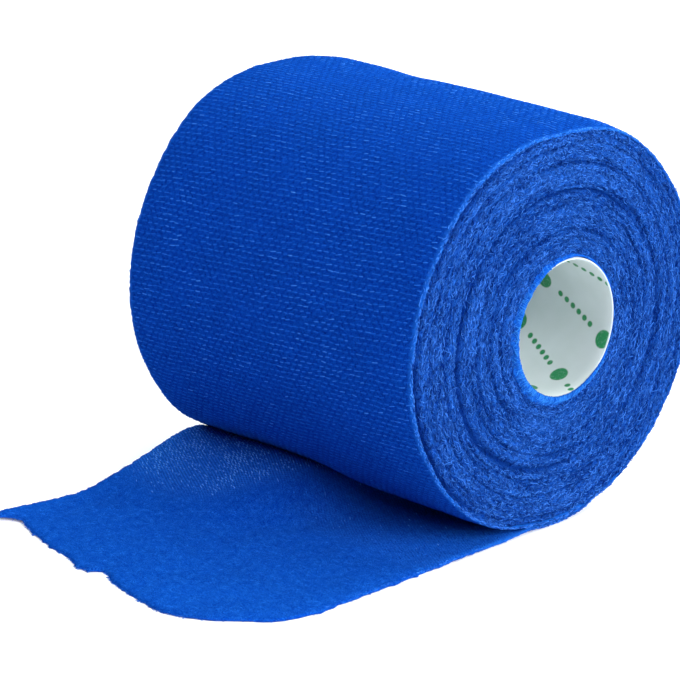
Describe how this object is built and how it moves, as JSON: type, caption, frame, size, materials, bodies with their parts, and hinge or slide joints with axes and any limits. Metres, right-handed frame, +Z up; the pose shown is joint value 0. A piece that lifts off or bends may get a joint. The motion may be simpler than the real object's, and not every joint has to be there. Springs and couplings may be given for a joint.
{
  "type": "cohesive bandage roll",
  "caption": "Elastic cohesive bandage wound on a thin open tube, lying on its side with its loose end laid out in front.",
  "frame": {"origin": "the point of the surface under the roll's axis, half way along the roll, on the flat spot where the roll rests", "axes": "+Z up; X along the roll's axis, with the end seen in the picture facing +X; the loose end runs out towards -Y"},
  "size_m": [0.0843, 0.1283, 0.0815],
  "materials": {
    "band_cloth": "matt knitted elastic cloth, royal blue, felt-like at its cut edges",
    "tube_card": "thin smooth white tube with a faint sheen and small green marks inside"
  },
  "bodies": {
    "root": {"bandage_roll": "band_cloth", "loose_end": "band_cloth", "core_tube": "tube_card"}
  },
  "joints": []
}
